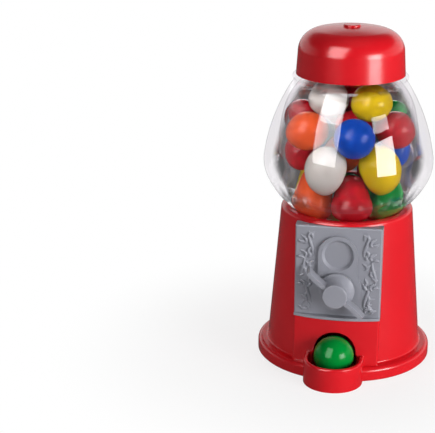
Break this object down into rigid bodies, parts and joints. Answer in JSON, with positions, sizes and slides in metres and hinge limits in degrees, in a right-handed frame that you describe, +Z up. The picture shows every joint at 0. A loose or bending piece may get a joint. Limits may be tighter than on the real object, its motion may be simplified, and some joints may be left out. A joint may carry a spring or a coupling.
{
  "type": "gumball machine",
  "caption": "Small table-top gumball machine: red tapered base with grey face plate, turning handle and tray, clear globe of mixed gumballs and a red lift-off lid.",
  "frame": {"origin": "middle of the flat underside, on the axis of the round base, globe and lid", "axes": "+Z up through the lid, front with plate, handle and tray towards -Y, +X to the viewer's right"},
  "size_m": [0.0724, 0.0837, 0.1398],
  "materials": {
    "red_plastic": "glossy",
    "grey_plastic": "semi-gloss",
    "clear_plastic": "clear, glossy",
    "black_plastic": "matte",
    "white_plastic": "satin",
    "steel": "bright",
    "candy_red": "sugar-coated, glossy",
    "candy_white": "sugar-coated, glossy",
    "candy_yellow": "sugar-coated, glossy",
    "candy_blue": "sugar-coated, glossy",
    "candy_green": "sugar-coated, glossy",
    "candy_orange": "sugar-coated, glossy"
  },
  "bodies": {
    "machine": {"body_shell": "red_plastic", "face_plate": "grey_plastic", "globe": "clear_plastic", "hopper_floor": "red_plastic", "wheel_housing": "white_plastic", "housing_cover": "white_plastic", "delivery_chute": "red_plastic", "bottom_cover": "black_plastic", "bottom_screws": "steel", "housing_screws": "steel", "housing_cover_screws": "steel", "plate_screws": "steel", "gumballs_red": "candy_red", "gumballs_white": "candy_white", "gumballs_yellow": "candy_yellow", "gumballs_blue": "candy_blue", "gumballs_green": "candy_green", "gumballs_orange": "candy_orange"},
    "spindle": {"turn_handle": "grey_plastic", "axle": "steel", "dispensing_wheel": "white_plastic", "wheel_pin": "steel", "axle_clip": "steel", "handle_washer": "steel"},
    "cap": {"lid": "red_plastic"},
    "vended_ball": {"dispensed_gumball": "candy_green"}
  },
  "joints": [
    {"name": "handle_turn", "type": "hinge", "parent": "machine", "child": "spindle", "pos_m": [0, -0.03, 0.037], "axis": [0, 1, 0], "continuous": true},
    {"name": "lid_lift", "type": "slide", "parent": "machine", "child": "cap", "axis": [0, 0, 1], "range_m": [0, 0.03]},
    {"name": "ball_pick", "type": "slide", "parent": "machine", "child": "vended_ball", "axis": [0, -0.7071, 0.7071], "range_m": [0, 0.02]}
  ]
}
